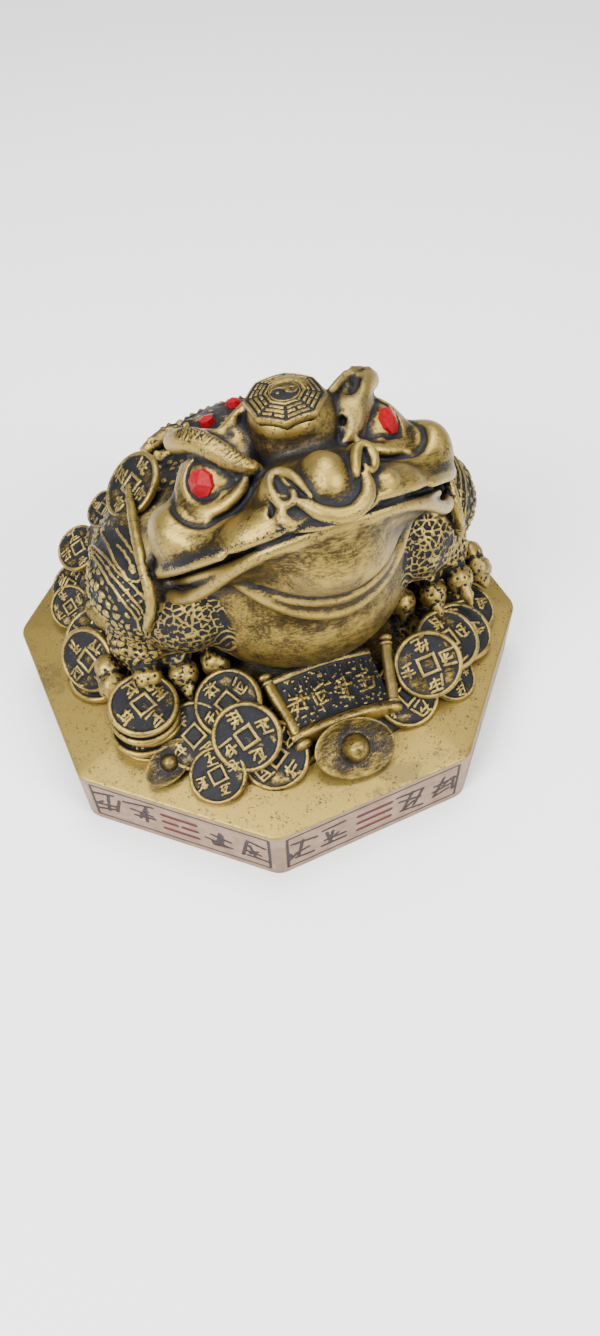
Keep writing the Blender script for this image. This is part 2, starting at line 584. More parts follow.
def above_lip(x, y, z):
    a = radians(HEAD_LEAN)
    upright = sin(a) * x + cos(a) * (z - LEAN_HEIGHT[2]) + LEAN_HEIGHT[2]
    rise = ((y - HEAD_SEAT[1]) + (upright - HEAD_SEAT[2])) * TILT_SHARE
    return rise - LIP_RISE + LIP_DROOP * (x / LIP_HALF) ** 2


def under_mouth(x, y, z):
    return above_lip(x, y, z) + MOUTH_GAP


def over_mouth(x, y, z):
    return -above_lip(x, y, z)


def head_mass(at, halves, turn=(0, 0, 0), only=0, **more):
    """The same mass on both sides of the head, or on one of them."""
    inner = about("X", turn[0] - HEAD_TILT) @ about("Y", turn[1]) @ about("Z", turn[2])
    for side in (1, -1) if at[0] else (1,):
        if side * only >= 0:
            flip = np.array([side, 1, 1])
            turned = about("Y", HEAD_LEAN) @ (flip[:, None] * inner * flip)
            mass(on_head(side * at[0], at[1], at[2]), halves, turned, **more)


def head_roll(stops, only=0, **more):
    """The same roll on both sides of the head, or one right across it when it starts in the
    middle."""
    across = stops[0][0] == 0
    for side in (1,) if across else (1, -1):
        if side * only >= 0:
            line = [(side * s[0],) + tuple(s[1:]) for s in stops]
            if across:
                line = [(-s[0],) + tuple(s[1:]) for s in line[:0:-1]] + line
            roll([[*on_head(*s[:3]), s[3]] for s in line], **more)


head_mass((0, -1, -2.2), (42.5, 43.6, 9), keep=under_mouth, soft=3)
head_mass((0, 6, -6), (24, 34, 20), keep=under_mouth, soft=5)
head_mass((0, -2, -1), (39.5, 40.5, 8), soft=0.5)
head_roll([(0, 42.4, -1, 1.6), (13.4, 40.4, -1.4, 1.6), (21, 37.2, -2, 1.6), (28, 31, -3.9, 1.7),
           (34, 22, -6.4, 1.9), (39.5, 13, -7.8, 2.1), (43, 6, -6.8, 2), (44, -4, -5.5, 1.5)],
           soft=1.5)
head_roll([(0, 18.8, -23.2, 4), (9.5, 19.2, -20.8, 3.8), (18, 17.6, -15.1, 3.4),
           (24, 16.2, -8.6, 2.9), (27, 18, -5, 2)], soft=1.2)
head_roll([(0, 29, -20.4, 1.4), (9.5, 28, -18.6, 1.3), (17, 24.5, -14.6, 1.1),
           (20.5, 21, -11.2, 0.6)], cut=True, soft=1.8)
head_mass((0, -0.5, 0), (46.5, 47.4, 16), keep=over_mouth, soft=0.5)
head_mass((0, 31, 8), (18, 15.5, 10), soft=4, keep=over_mouth)
head_mass((0, 14, 12), (20, 20, 11), soft=5)
head_mass((29, 12, 6), (14.5, 17, 8), (0, 0, 12), soft=4, keep=over_mouth)
head_mass((20, 34, 4), (7, 7, 5), (0, 0, -30), soft=3, keep=over_mouth)
head_mass((15.5, 38.5, 4.5), (4.5, 5, 4.5), soft=3, keep=over_mouth)
head_roll([(45.6, 13, 12, 0.7), (44.2, 20, 11.2, 1.1), (42.2, 24.6, 9.8, 1), (40, 26.4, 8.7, 0.3)],
           cut=True, soft=0.6)
head_roll([(47, 3, 1, 1), (46.7, 3, 4, 1.3), (45.3, 14, 5.6, 1.3), (42.8, 22.6, 5.3, 1.2),
           (39.8, 25.8, 4.5, 1), (37, 27.8, 4.6, 0.3)], cut=True, soft=0.6)
head_roll([(45.5, 6, 1.2, 1.2), (44, 14, 1.4, 1.5), (38, 26, 1, 1.2), (30, 35, 0.9, 1)], soft=1.5)

# The forehead's ball, the nose and the nostrils: a rounded oval pad, a roll that runs under it from
# nostril to nostril, and on each side a nostril like a comma, curled round a dark hollow. They are
# modelled on the same clay as the head.
DOME_MIDDLE, DOME_HALF = np.array([1.2, -10, 89.4]), 13.0
PLATE_TOP, PLATE_LEAN = np.array([-1, -11.3, 102.4]), about("Y", -2.7) @ about("X", -3.8)
mass(DOME_MIDDLE, (DOME_HALF,) * 3, soft=3)
mass(PLATE_TOP - PLATE_LEAN[:, 2] * 6.6, (10.2, 10.2, 5), PLATE_LEAN, soft=1.5)
mass(PLATE_TOP + PLATE_LEAN[:, 2] * 10.6, (11.5, 11.5, 12.4), PLATE_LEAN, cut=True, soft=0.3)
head_mass((10.8, 37.4, 11.8), (4.8, 5.6, 5.4), only=-1, soft=2)
head_mass((12.2, 37.4, 12.6), (4.6, 5.4, 5), only=1, soft=2)
head_mass((1.2, 39.2, 10), (7, 8.5, 8.6), only=1, soft=0.8)
head_roll([(-5.9, 46.2, 12.4, 0.4), (-5, 47.2, 8.6, 0.6), (-2, 48.2, 4.8, 0.7), (3, 48.2, 3.8, 0.7),
           (6.9, 47.2, 5.8, 0.7), (8.1, 45.7, 9.6, 0.6), (8.3, 43.4, 13, 0.5),
           (7, 41.6, 16.2, 0.3)], only=1, cut=True, soft=0.6)
head_roll([(-8.3, 45.2, 8.2, 1.2), (-6.4, 46.3, 6.2, 1.7), (-3.9, 47.2, 3.5, 2.1),
           (-0.3, 47.6, 1.6, 2.2), (3.5, 47.5, 1.1, 2.2), (6.6, 47, 2.2, 2.2), (9.2, 46, 4.2, 2.1),
           (10.3, 45, 7, 1.8), (10.1, 44.2, 9.4, 1.2)], only=1, soft=0.6)
head_roll([(0, 46, 0, 1.2), (5, 45.4, 0.3, 1.1), (10, 43.6, 1.2, 0.8), (14, 41.5, 1.8, 0.4)],
           soft=1)
head_roll([(11.4, 41, 15, 1.2), (10.9, 43, 13, 1.9), (9.6, 44.4, 11.5, 1.7), (7.8, 45.6, 10, 1.1),
           (6.4, 46.4, 9, 0.5)], only=-1, cut=True, soft=0.5)
head_roll([(12.8, 41, 15.2, 1.1), (12.5, 42.2, 13.2, 1.7), (11.4, 43.6, 11.6, 1.3),
           (9.6, 45, 10.4, 0.6)], only=1, cut=True, soft=0.5)
head_roll([(4.9, 46.4, 7.9, 0.5), (5.9, 45.8, 10.8, 0.9), (6.7, 44.2, 13.5, 1.2),
           (7.9, 41.8, 15.6, 1.3), (9.8, 40, 16.7, 1.3), (11.9, 39.6, 16.3, 1.3),
           (12.9, 40.2, 14.3, 1.25), (13.3, 41.4, 11.8, 1.2), (13, 43, 9.5, 1.1),
           (11.7, 44, 8.4, 1.05), (10.1, 44.8, 8.2, 1), (9, 45.2, 9.3, 0.95), (8.6, 45, 10.6, 0.9),
           (9.2, 44.2, 11.2, 0.7)], only=-1, soft=0.4)
head_roll([(8, 45.8, 9.6, 0.9), (8.6, 45, 11.5, 1.3), (10, 42.8, 13.9, 1.5), (11.7, 41, 15.9, 1.4),
           (13.5, 40.4, 16.5, 1.2), (15, 40.4, 15.2, 1.2), (15.5, 41, 13.2, 1.1),
           (14.7, 42, 10.9, 1.1), (13.1, 43.4, 9.5, 1), (11.6, 44.2, 10.1, 0.9),
           (11.4, 43.8, 11.2, 0.7)], only=1, soft=0.4)
head_mass((16.4, 41, 5.7), (3, 3.8, 2.5), only=1, soft=1.5)
head_roll([(12.2, 43.2, 8, 0.8), (12.9, 43.8, 5.6, 1.4), (12, 44.4, 3.2, 1.2)], only=-1, soft=1.5)
head_roll([(14.6, 41.6, 9, 0.6), (15.4, 42, 6.4, 0.9), (16.8, 41.6, 4.4, 0.4)], only=-1, cut=True,
           soft=0.8)

# The eyes and the brows: each bulging eyeball has thin lids and a broad crescent of bag below, and
# over it runs the roll of a brow. Behind the left brow a hollowed leaf stands up, and behind the
# right one a pitted web and a low roll join the head to the back. All are part of the casting.
EYE, EYE_HALF, LID_HALF = np.array([22, 17.1, 19.3]), 9.4, 10.3
head_mass((24, 13, 15), (11.5, 12, 12), soft=4)
head_mass(EYE, (LID_HALF,) * 3, soft=2)
head_mass((37.5, 14, 10.5), (7, 12, 8), (0, 20, 8), soft=5)
head_roll([(29.2, 15, 26.4, 1.1), (31, 16, 23, 1.5), (32.2, 16.6, 19, 2), (31.8, 19.2, 15.2, 2.3),
           (29.3, 22.8, 12.8, 2.4), (25.2, 25.6, 12.4, 2.2), (21, 27.2, 13.8, 1.8),
           (17.4, 27.7, 16.2, 1.4), (15.6, 27, 19, 0.9)], soft=1.5)
head_roll([(34.5, 16, 20.4, 0.4), (36.6, 20.6, 16.7, 0.8), (35.8, 24.2, 13.6, 1),
           (33.4, 26, 11.1, 1.1), (30.2, 27.5, 9.8, 1.1), (25.6, 26.8, 9.9, 1.1),
           (21.3, 27.7, 11, 0.9), (17.4, 28.6, 13, 0.7), (14, 29.8, 15.4, 0.3)], cut=True, soft=1)
head_mass((26, 23, 21), (8, 5.5, 6.6), (0, 0, -48), cut=True, soft=0.5)
head_roll([(23, 26, 20, 3.2), (20.4, 27, 18.8, 1.9), (18.4, 27.2, 18.2, 0.5)], cut=True, soft=0.5)
head_mass(EYE, (EYE_HALF,) * 3, soft=0.3)
head_roll([(28.8, 16.7, 26.3, 0.7), (27.5, 17.5, 27.2, 0.8), (25.8, 19.4, 27.9, 0.9),
           (23.8, 23.6, 26.4, 0.9), (21.4, 25.7, 24.2, 0.9), (19.5, 26.4, 21.4, 0.8),
           (17.9, 26.3, 18.4, 0.7)], soft=0.5)
head_roll([(17.9, 26.3, 18.2, 0.6), (20.3, 26.6, 16.2, 0.7), (23.6, 26.1, 14.9, 0.8),
           (26.9, 24.6, 14.7, 0.8), (29.9, 22.4, 16.1, 0.8), (31.3, 20.4, 19, 0.8),
           (31, 18.6, 22.5, 0.7), (29.6, 16.8, 25.4, 0.5)], soft=0.5)


def leaning(stops, side):
    """Stops typed for the upright head's left side, leaning on that side or the other."""
    return [[*leant(np.array(s[:3]) * [side, 1, 1]), s[3]] for s in stops]


def lumps(stops, soft, stretch=(1, 1, 1), cut=False):
    """Small masses pressed on at stops of place and half-width, or scooped out there."""
    for x, y, z, half in stops:
        mass((x, y, z), half * np.array(stretch), soft=soft, cut=cut)


BROW = [(13, -20.5, 87, 1.2), (16, -19.8, 89.3, 1.8), (18.2, -17.2, 90.8, 2.4),
        (21.5, -12, 92.1, 2.9), (24.5, -7, 91.8, 3.2), (27.3, -3.5, 90, 3.3), (29, 0, 87, 3.2)]
NEAR_BROW = [(12.4, -20.6, 87.6, 1.9), (15, -20.2, 89.4, 2.3), (18.2, -17.4, 91, 2.9),
             (21.5, -12.4, 92, 3.4), (24.5, -7.4, 91.8, 3.6), (27.3, -3.7, 90.2, 3.5),
             (29, 0, 87.4, 3.2)]
LEAF = [(19, -10, 87.5, 6), (15.5, -15, 86.5, 4), (22, -5, 88.5, 5), (17.2, -13.2, 90.2, 4.6),
        (15.6, -16.2, 88.6, 3.4)]
LEAF_EDGE = [(11.5, -12, 91, 1), (13.9, -8.5, 93.4, 1.2), (16.5, -6.5, 94, 1.3),
             (19.5, -4.5, 94.2, 1.3), (22.5, -3, 93.8, 1.4), (25.3, -2, 92.8, 1.6),
             (27.5, -2, 91, 2)]
LEAF_HOLLOWS = [(21, -8.6, 94, 1.9), (22.6, -6.6, 94, 1.7), (19.4, -10.4, 94, 1.5),
                (14.2, -17, 91, 1.1)]
WEB = [(19, -10, 85.5, 5), (15.5, -15, 84.5, 3.5), (22, -4, 86, 5), (13.8, -8.5, 86.6, 6)]
WEB_EDGE = [(8.6, -4.4, 95.6, 1.3), (11.6, -5, 93.8, 1.6), (15, -6, 91.6, 1.8),
            (18, -7.6, 91.4, 1.9), (21, -6.5, 91.5, 2)]
WEB_PITS = [(15.4, -10, 93, 1.3), (19.8, -8.6, 95, 1.3), (11.2, -7.4, 94.2, 1.3)]
BACK_OF_BROW = [(-31.5, 34, 57, 2.3), (-26.5, 35, 58.4, 2.9), (-20, 35.5, 59, 3),
                (-14, 36, 59, 2.7)]
SHOULDER_CURLS = [(-36, 30, 50, 3.4), (-33, 24, 54, 3), (-38.5, 34, 46, 3.2), (-29, 28, 56.5, 2.8),
                  (-41, 27, 50, 2.6)]
roll(leaning(BROW, 1), soft=1)
roll(leaning(NEAR_BROW, -1), soft=0.8)
lumps(leaning(LEAF, 1), 2)
roll(leaning(LEAF_EDGE, 1), soft=0.8)
lumps(leaning(LEAF_HOLLOWS, 1), 0.8, (1, 1.2, 1.2), cut=True)
lumps(leaning(WEB, -1), 2)
roll(leaning(WEB_EDGE, -1), soft=1.2)
lumps(leaning(WEB_PITS, -1), 0.6, (1, 1.3, 1), cut=True)
roll(BACK_OF_BROW, soft=1.5)
lumps(SHOULDER_CURLS, 1, (1.3, 1, 1))


def skin(depth, low, step):
    """A surface of four-cornered faces where the clay meets the air."""
    inside = depth < 0
    n = np.array(depth.shape) - 1
    count = np.zeros(n, np.int8)
    for i, j, k in np.ndindex(2, 2, 2):
        count += inside[i:n[0] + i, j:n[1] + j, k:n[2] + k]
    mixed = (count > 0) & (count < 8)
    cell = np.argwhere(mixed)
    number = np.full(n, -1, np.int32)
    number[mixed] = np.arange(len(cell))
    spot, hits = np.zeros((len(cell), 3)), np.zeros(len(cell))
    for axis in range(3):
        others = [a for a in range(3) if a != axis]
        for p, q in np.ndindex(2, 2):
            a = np.zeros(3, int)
            a[others[0]], a[others[1]] = p, q
            b = a.copy()
            b[axis] = 1
            da = depth[tuple((cell + a).T)]
            db = depth[tuple((cell + b).T)]
            crossed = (da < 0) != (db < 0)
            t = np.where(crossed, da / np.where(crossed, da - db, 1), 0)
            spot[crossed] += a
            spot[crossed, axis] += t[crossed]
            hits += crossed
    points = (cell + spot / hits[:, None]) * step + low
    faces = []
    for axis in range(3):
        one, two = [a for a in range(3) if a != axis]
        here, there = [slice(None)] * 3, [slice(None)] * 3
        here[axis], there[axis] = slice(0, -1), slice(1, None)
        a, b = inside[tuple(here)], inside[tuple(there)]
        edge = np.argwhere(a != b)
        at_one, at_two = edge[:, one], edge[:, two]
        edge = edge[(at_one > 0) & (at_two > 0) & (at_one < n[one]) & (at_two < n[two])]
        outward = a[tuple(edge.T)]
        corners = []
        for p, q in ((-1, -1), (0, -1), (0, 0), (-1, 0)):
            k = edge.copy()
            k[:, one] += p
            k[:, two] += q
            corners.append(number[tuple(k.T)])
        corners = np.stack(corners, 1)
        flip = outward if axis != 1 else ~outward
        corners[~flip] = corners[~flip][:, ::-1]
        faces.append(corners)
    return points, np.concatenate(faces)


clay.depth[:, :, 0] = 5
points, faces = skin(clay.depth, np.array([a[0] for a in clay.axes]), STEP)
points = evened(points, faces, 2)

# The toad's skin: packed scales and a cloud on the arms, a net of cells and rings on the sleeves,
# holes in the cuffs, hairs on the straps and the near brow, rough pitted toes and warts over the
# back, all modelled in low relief before casting.


def cells(points, size, seed, jitter=0.85):
    """Spots strewn one to a cell: how far off the nearest and the next are, and the nearest one's
    own value."""
    q = points / size
    low = np.floor(q).astype(np.int64)
    near, second, tag = np.full(len(q), 9.0), np.full(len(q), 9.0), np.zeros(len(q))
    for step in np.ndindex(3, 3, 3):
        c = low + np.array(step) - 1
        shaken = np.stack([scatter(c, seed + k) for k in range(3)], 1) - 0.5
        away = np.linalg.norm(q - (c + 0.5 + jitter * shaken), axis=1)
        closer = away < near
        second = np.where(closer, near, np.minimum(second, away))
        tag = np.where(closer, scatter(c, seed + 5), tag)
        near = np.where(closer, away, near)
    return near, second, tag


normals = vertex_normals(points, faces)
x, y, z = points.T
ax = np.abs(x)
half_points = np.stack([ax, y, z], 1)
lip_height = above_lip(ax, y, z)


def within(middle, halves, edge=0.15):
    r = np.linalg.norm((half_points - middle) / halves, axis=1)
    return smooth_step(1 + edge, 1 - edge, r)


def along(stops, reach):
    """For the skin near a line drawn on it: how far off each point is, how far along it is, and
    the line's half-width there."""
    line = smooth_line(stops, 10)
    low, high = line[:, :3].min(0) - reach, line[:, :3].max(0) + reach
    close = np.where(np.all((half_points > low) & (half_points < high), axis=1))[0]
    here = half_points[close]
    for k, spot in enumerate(line[:, :3]):
        line[k, :3] = here[np.argmin(np.sum((here - spot) ** 2, axis=1))]
    line[1:-1, :3] = (line[:-2, :3] + line[1:-1, :3] * 2 + line[2:, :3]) / 4
    steps = np.linalg.norm(np.diff(line[:, :3], axis=0), axis=1)
    run = np.concatenate([[0], np.cumsum(steps)])
    off, where, wide = (np.full(len(half_points), v) for v in (99.0, 0.0, 1.0))
    best, spot = np.full(len(close), 99.0), np.zeros(len(close))
    for k in range(len(line) - 1):
        a, s = line[k, :3], line[k + 1, :3] - line[k, :3]
        t = np.clip((here - a) @ s / (s @ s + 1e-9), 0, 1)
        away = np.linalg.norm(here - a - t[:, None] * s, axis=1)
        closer = away < best
        best, spot = np.where(closer, away, best), np.where(closer, k + t, spot)
    off[close] = best
    where[close] = np.interp(spot, np.arange(len(run)), run)
    wide[close] = np.interp(spot, np.arange(len(run)), line[:, 3])
    return off, where, wide


def thread(stops):
    """A thin raised line on the skin, 1 on its crest."""
    off, _, wide = along(stops, 2.0)
    return smooth_step(wide, wide * 0.2, off)


CLOUD = [(56.5, 7, 47, 0.8), (55, -3, 50, 1.6), (54, -10, 50.5, 2.4), (52.5, -16, 49.5, 3.2),
         (51, -21, 47, 3.4), (51, -23, 42.5, 2.4), (51, -22, 37.5, 0.8)]
CLOUD_CURLS = [
    [(50.5, 4, 56.5, 0.55), (49, -6, 57.5, 0.55), (48, -11, 58, 0.55), (48, -15, 57, 0.55),
     (50, -17, 55, 0.55), (52, -15, 54, 0.55), (53, -11, 54, 0.55), (53.5, -6, 54, 0.55),
     (53.5, 0, 53.5, 0.5), (54, 7, 52, 0.4)],
    [(50.5, -13.5, 56, 1.3), (50.5, -12.5, 56, 1.3)],
    [(51.5, -3, 55.8, 0.5), (50.5, -8, 56.5, 0.5), (50.6, -12, 56.2, 0.5)],
    [(57, 8, 44, 0.45), (57.5, -2, 46, 0.5), (57, -9, 46, 0.5), (56, -15, 43, 0.5),
     (54, -20, 39, 0.5), (51.5, -22.5, 35.5, 0.5)],
    [(54.5, -14, 47.5, 0.9), (54.3, -15, 47.3, 0.9)],
    [(54.5, -18, 44.5, 0.8), (54.3, -18.8, 44.2, 0.8)],
    [(53.5, -19, 48.5, 0.5), (52.6, -21.5, 47.5, 0.5), (52.4, -22.5, 45, 0.5),
     (53.4, -21.3, 44.4, 0.5), (53.6, -20, 45.6, 0.4)]]
SLEEVE_BAND = [(50, -20, 27, 1), (45.5, -22, 24.5, 1), (41, -25, 23.5, 1), (36.5, -28, 24.5, 1),
               (32.5, -30.5, 28, 1), (29, -32.5, 33, 1)]
BROW_HAIRS = [(29, -5, 93, 1), (26, -8, 95, 1), (23, -11, 95.5, 1), (20, -15, 94.5, 1),
              (17.5, -18, 92.5, 1), (14.5, -20.5, 90, 1)]
SCALE, NET_CELL, CUFF_HOLE, TOE_PIT, WART = 2.6, 2.3, 2.1, 1.7, 3.6
SCALE_RISE, CLOUD_RISE, HAIR_DEPTH, SLEEVE_RISE, WART_RISE = 0.85, 0.75, 0.22, 0.5, 1.0

arm = within((56, -2, 33), (12, 24, 24)) * smooth_step(43, 48, ax)
cloud_field = within((52, -9, 50), (7, 19, 14)) * smooth_step(40, 44, ax)
cloud_off, cloud_run, cloud_wide = along(CLOUD, 8)
ribs = smooth_step(cloud_wide, cloud_wide * 0.5, cloud_off) \
    * smooth_step(0.3, 0.8, np.cos(cloud_run * 2.6))
cloud_edge = smooth_step(0.65, 0.2, np.abs(cloud_off - cloud_wide * 0.85))
cloud = np.maximum.reduce([cloud_edge, smooth_step(0.6, 0.2, cloud_off), 0.5 * ribs])
near, second, tag = cells(half_points, SCALE, 11, 0.6)
packed = smooth_step(0.12, 0.38, second - near) * smooth_step(0.25, 0.4, tag)
boss = np.maximum(smooth_step(0.52, 0.15, near), packed) * (1 - cloud_field)
relief = arm * boss * SCALE_RISE
dark = np.maximum(arm, cloud_field) * (1 - 0.6 * boss)
curls = np.maximum.reduce([thread(stops) for stops in CLOUD_CURLS]) * cloud_field
relief += CLOUD_RISE * np.maximum(cloud * 0.8, curls)
dark *= 1 - np.maximum(cloud * 0.85, curls)

strap_off, strap_run, strap_wide = along(STRAP, 5)
fur = smooth_step(4.2, 2.8, strap_off) * (1 - smooth_step(0.6, 0.2, strap_off / strap_wide)) + 0.001
relief -= HAIR_DEPTH * fur * (0.5 + 0.5 * np.cos(strap_run * 7.5 + strap_off * 1.5))
dark = np.maximum(dark * smooth_step(1.5, 2.6, strap_off), 0.35 * fur)

sleeve = within((38, -24, 35), (13, 13, 16)) * smooth_step(-7, -10, lip_height) \
    * smooth_step(-10, -14, y)
band_off = along(SLEEVE_BAND, 9)[0]
near, second, _ = cells(half_points, NET_CELL, 17)
net = smooth_step(0.24, 0.04, second - near) \
    * smooth_step(0.3, 0.5, mottle(half_points, 7, 3) + 0.1)
wave = 0.5 + 0.5 * np.cos((band_off + 0.8 * mottle(half_points, 3.5, 9)) * 2.6)
rings = smooth_step(0.55, 0.9, wave) * smooth_step(6, 4.5, band_off)
hooks = smooth_step(0.5, 0.8, mottle(half_points, 1.6, 13))
banded = np.maximum(rings, 0.5 * hooks * smooth_step(1.5, 2.5, band_off))
sleeve_up = np.where(band_off < 5.5, banded, np.maximum(net, 0.35 * hooks))
relief += sleeve * SLEEVE_RISE * sleeve_up
dark = np.maximum(dark, sleeve * (1 - 0.9 * sleeve_up))

cuff = within((54, -16, 26), (8, 8, 5.5))
near = cells(half_points, CUFF_HOLE, 29, 0.5)[0]
relief += cuff * (0.55 - 0.9 * smooth_step(0.42, 0.25, near))
dark = np.maximum(dark * (1 - cuff), cuff * smooth_step(0.45, 0.3, near))

foot = smooth_step(24, 20, z) * smooth_step(-11, -14, y) * smooth_step(27, 29, ax) \
    * smooth_step(-36, -33, y)
near = cells(half_points, TOE_PIT, 37)[0]
pit = smooth_step(0.4, 0.2, near) * smooth_step(0.4, 0.6, mottle(half_points, 3.2, 41) + 0.15)
relief += foot * (0.8 * (mottle(half_points, 1.5, 43) - 0.5) - 0.5 * pit)
sunk = smooth_step(0.6, 0.4, mottle(half_points, 1.9, 47))
dark = np.maximum(dark, foot * np.maximum(0.35 + 0.35 * sunk, pit))

brow_off, brow_run, _ = along(BROW_HAIRS, 6)
hairs = smooth_step(3.4, 2.2, brow_off) * (x < 0) \
    * smooth_step(-0.2, 0.6, np.cos(brow_run * 5.5 + brow_off * 2.5))
relief += 0.3 * hairs
dark = np.maximum(dark, 0.5 * smooth_step(3.8, 2.6, brow_off) * (x < 0) * (1 - hairs))

back = smooth_step(12, 26, y + 0.2 * z) * smooth_step(4, 12, z)
near, _, tag = cells(points, WART, 23)
wart = smooth_step(0.25 + 0.25 * tag, 0.05, near)
relief += back * wart * WART_RISE
heap = smooth_step(9, 6, z) * (1 - foot)
dark = np.maximum.reduce([dark, back * 0.8 * (1 - wart), heap])
mouth = smooth_step(0.3, -0.3, lip_height) * smooth_step(-3.2, -2.4, lip_height)
dark = np.maximum(dark, mouth * smooth_step(-10, -14, y))
points = points + normals * relief[:, None]
SKIN_TRIANGLES = 91000
share = SKIN_TRIANGLES / (2 * len(faces))
add_to_casting(stand(points), faces, dark, share, 5, 40)

# The eight-sided plate on the forehead: rings of broken and whole bars round a disc with the two
# drops of light and dark. It is part of the casting, a little domed, and sits square to the base.
PLATE_ACROSS, PLATE_THICKNESS, PLATE_RISE, PLATE_SINK = 20.6, 1.4, 2.3, 0.5
DROP_HALF, DROP_EYE, DISC_LINE = 1.9, 0.5, 4.1
PLATE_ROWS, PLATE_LINES, PLATE_BROKEN = (0.6, 0.72, 0.84), (0.97, 0.465), [0, 5, 3, 6, 1, 4, 2, 7]
turns, rings_out = ((400, 90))
t, r = np.meshgrid(full_turn(turns), np.linspace(0.004, 1, rings_out))
sector = (t + pi / 8) % (pi / 4) - pi / 8
spoke = r * PLATE_ACROSS / 2 / np.cos(sector)
px, py = spoke * np.cos(t), spoke * np.sin(t)
aside = np.abs(r * PLATE_ACROSS / 2 * np.tan(sector))
side_number = np.round(t / (pi / 4)).astype(int) % 8
plate_up = np.zeros(t.shape)
for line in PLATE_LINES:
    plate_up = np.maximum(plate_up, smooth_step(0.045, 0.025, np.abs(r - line)))
for k, row in enumerate(PLATE_ROWS):
    is_broken = (np.array(PLATE_BROKEN)[side_number] >> k) & 1
    room = row * PLATE_ACROSS / 2 * np.tan(pi / 8) - 0.3
    in_row = smooth_step(0.05, 0.03, np.abs(r - row)) * smooth_step(room, room - 0.3, aside)
    gap = np.where(is_broken, smooth_step(0.15, 0.45, aside), 1)
    plate_up = np.maximum(plate_up, in_row * gap)
disc = np.hypot(px, py)
upper, lower = np.hypot(px - DROP_HALF, py), np.hypot(px + DROP_HALF, py)
drop = np.where(upper < DROP_HALF, 1, np.where(lower < DROP_HALF, 0, (py > 0) * 1.0))
drop = np.where(upper < DROP_EYE, 0, np.where(lower < DROP_EYE, 1, drop))
drop = drop * smooth_step(3.9, 3.7, disc)
ring = smooth_step(0.35, 0.15, np.abs(disc - DISC_LINE))
plate_up = np.maximum.reduce([plate_up, drop, ring])
corner = PLATE_ACROSS / 2 / cos(pi / 8)
crown_half = (corner ** 2 + PLATE_RISE ** 2) / (2 * PLATE_RISE)
crown = np.sqrt(crown_half ** 2 - disc ** 2) - crown_half
face = np.stack([px, py, crown - PLATE_SINK * (1 - plate_up)], -1)
face[-1, :, 2] -= 0.15
skirt = [face[-1:] * [s, s, 1] - [0, 0, down]
         for s, down in ((1.012, 0.4), (1.012, PLATE_THICKNESS), (0.95, 1.9), (0.8, 4.5))]
square = about("Z", -TOAD_TURN)
plate_points = np.concatenate([face] + skirt).reshape(-1, 3) @ square.T @ PLATE_LEAN.T + PLATE_TOP
dark = np.concatenate([(1 - plate_up) * 0.9, np.zeros((len(skirt), turns))]).ravel()
plate_faces = grid_faces(rings_out + len(skirt), turns, True)[:, ::-1]
add_to_casting(stand(plate_points), plate_faces, dark, 0.16, 2, 8)

# The finished casting: one piece of resin with a dark ground, gold rubbed over it and worn back, so
# that the hollows stay blue-black, the flats are a dusty gold and the high spots are bright.
shift, spots, corners, finishes = 0, [], [], []
for part_points, part_faces, part_finish in casting_parts:
    spots.append(part_points)
    corners.append(part_faces + shift)
    finishes.append(part_finish)
    shift += len(part_points)
spots, corners, finishes = (np.concatenate(parts) for parts in (spots, corners, finishes))
spots = np.clip(spots / 1000, *cad_box)
gilt_mesh = finished_mesh("gilt_toad_casting", spots, corners, finishes)
gilt_mesh.polygons.foreach_set("use_smooth", [True] * len(gilt_mesh.polygons))
gilt_mesh.update()
gilt_toad = placed("gilt_toad_casting", gilt_mesh)
print("casting triangles", len(corners))


def new_material(name):
    """A material, with its nodes and its shader."""
    material = bpy.data.materials.new(name)
    material.use_nodes = True
    return material, material.node_tree, material.node_tree.nodes["Principled BSDF"]


def feed(target, socket, value):
    """Sets one input of a node, or wires it."""
    if isinstance(value, (int, float, tuple)):
        target.inputs[socket].default_value = value
    else:
        tree.links.new(value, target.inputs[socket])


def node(kind, *feeds, **settings):
    """A new node with its settings made and its inputs fed, in order."""
    new = tree.nodes.new("ShaderNode" + kind)
    for name, value in settings.items():
        setattr(new, name, value)
    for socket, value in feeds:
        feed(new, socket, value)
    return new


def figure(operation, a, b):
    return node("Math", (0, a), (1, b), operation=operation).outputs[0]


def plus(a, b):
    return figure("ADD", a, b)


def less(a, b):
    return figure("SUBTRACT", a, b)


def times(a, b):
    return figure("MULTIPLY", a, b)


def between(value, low, high):
    """0 below low and 1 above high."""
    spread = node("MapRange", (0, value), (1, low), (2, high), interpolation_type="SMOOTHSTEP")
    return spread.outputs[0]


def mixed(share, one, other):
    one, other = (c + (1,) if isinstance(c, tuple) else c for c in (one, other))
    return node("Mix", (0, share), (6, one), (7, other), data_type="RGBA").outputs[2]


def stored(name):
    return node("Attribute", attribute_name=name).outputs["Fac"]


def shut_within(distance):
    """How far a place is shut in by what stands within a distance."""
    return less(1.0, node("AmbientOcclusion", ("Distance", distance), samples=8).outputs["AO"])


def noise(scale, detail, rough, stretch=None):
    source = node("TexCoord").outputs["Object"]
    if stretch:
        source = node("Mapping", ("Vector", source), ("Scale", stretch)).outputs[0]
    cloudy = node("TexNoise", ("Vector", source), ("Scale", scale), ("Detail", detail),
                  ("Roughness", rough))
    return cloudy.outputs["Fac"]


